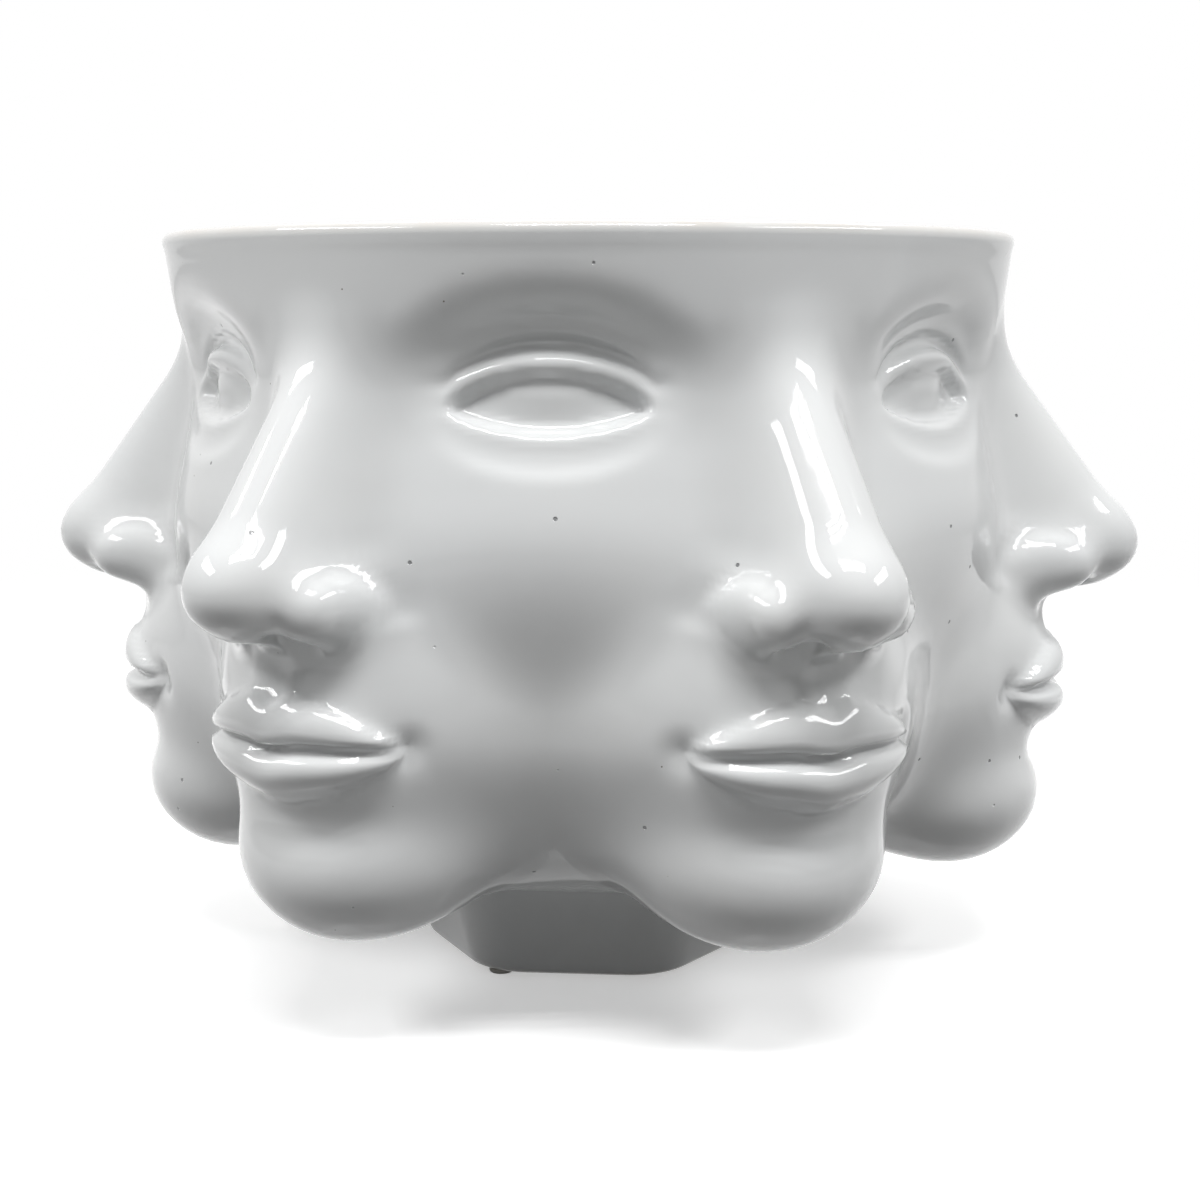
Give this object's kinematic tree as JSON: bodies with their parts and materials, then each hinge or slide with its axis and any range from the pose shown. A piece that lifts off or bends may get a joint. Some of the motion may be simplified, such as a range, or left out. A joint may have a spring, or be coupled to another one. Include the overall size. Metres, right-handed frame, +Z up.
{
  "type": "face vase",
  "caption": "Open glazed ceramic vase whose wall is a ring of calm faces that share their eyes, set on a short tapered foot with felt pads; holds flowers or stands as an ornament.",
  "frame": {"origin": "middle of the base, on the surface that the vase stands on", "axes": "+Z up along the axis of the bowl; a shared eye looks along -Y and a nose points along +X"},
  "size_m": [0.2576, 0.2254, 0.169],
  "materials": {
    "white_glaze": "gloss",
    "felt": "matte"
  },
  "bodies": {
    "root": {"face_body": "white_glaze", "luting_coil": "white_glaze", "foot": "white_glaze", "foot_pads": "felt"}
  },
  "joints": []
}
